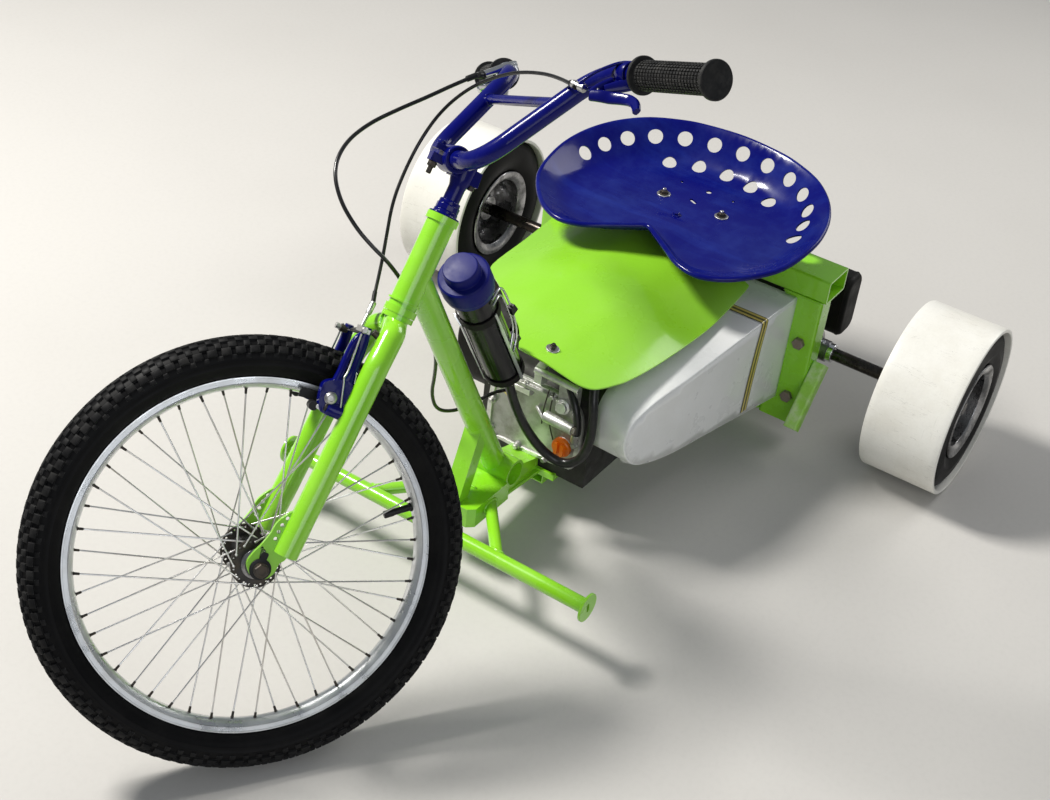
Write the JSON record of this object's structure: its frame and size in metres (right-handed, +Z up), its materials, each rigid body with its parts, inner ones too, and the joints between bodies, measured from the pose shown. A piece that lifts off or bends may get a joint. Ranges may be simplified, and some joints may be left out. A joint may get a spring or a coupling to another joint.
{
  "type": "drift trike",
  "caption": "Low motorised drift trike: a bicycle front end steers a spoked wheel ahead of a tractor seat, small engine and two sleeved rear wheels on a live axle.",
  "frame": {"origin": "on the ground under the middle of the bounding box", "axes": "+X forward, +Y to the rider's left, +Z up"},
  "size_m": [1.3622, 0.9806, 0.8514],
  "materials": {
    "lime_paint": "gloss",
    "blue_paint": "gloss",
    "white_panel": "gloss",
    "sleeve": "scuffed",
    "tyre": "matte",
    "alloy": "satin",
    "steel": "satin",
    "black_metal": "satin",
    "grip_rubber": "matte",
    "cap_plastic": "gloss"
  },
  "bodies": {
    "frame": {"head_tube": "lime_paint", "down_tube": "lime_paint", "bottom_bracket": "lime_paint", "front_strut": "lime_paint", "foot_box": "lime_paint", "foot_bar": "lime_paint", "foot_bar_struts": "lime_paint", "frame_rails": "lime_paint", "engine_plate": "lime_paint", "engine_block": "alloy", "recoil_starter": "black_metal", "oil_cap": "cap_plastic", "drive_chain": "steel", "side_cover": "white_panel", "hood": "lime_paint", "rear_beam": "lime_paint", "rear_posts": "lime_paint", "lower_beam": "lime_paint", "bearing_housings": "steel", "rear_braces": "lime_paint", "muffler": "black_metal", "seat_pan": "blue_paint", "seat_bolts": "steel", "fuel_bottle": "black_metal", "bottle_cap": "blue_paint", "bottle_cage": "steel", "fuel_hose": "grip_rubber", "throttle_cable_lower": "grip_rubber"},
    "rear_axle": {"rear_axle": "steel", "axle_sprocket": "steel", "rear_rims": "alloy", "rear_tyres": "tyre", "rear_sleeves": "sleeve"},
    "steering": {"fork_steerer": "blue_paint", "fork_legs": "lime_paint", "fork_dropouts": "lime_paint", "front_axle": "steel", "headset": "blue_paint", "stem": "blue_paint", "handlebar": "blue_paint", "crossbar": "blue_paint", "grips": "grip_rubber", "brake_lever": "blue_paint", "throttle_lever": "blue_paint", "brake_arms": "blue_paint", "brake_cable": "grip_rubber", "throttle_cable_upper": "grip_rubber"},
    "front_wheel": {"front_hub": "alloy", "front_rim": "alloy", "front_spokes": "steel", "front_tyre": "tyre"}
  },
  "joints": [
    {"name": "steering", "type": "hinge", "parent": "frame", "child": "steering", "pos_m": [0.6062, 0, 0], "axis": [-0.6195, 0, 0.785], "range_deg": [-18.5, 101.5]},
    {"name": "front_wheel_spin", "type": "hinge", "parent": "steering", "child": "front_wheel", "pos_m": [0.45888, -0.02677, 0.23552], "axis": [0.5202, 0.749, 0.4105], "continuous": true},
    {"name": "rear_axle_spin", "type": "hinge", "parent": "frame", "child": "rear_axle", "pos_m": [-0.5471, 0, 0.134], "axis": [0, 1, 0], "continuous": true}
  ]
}
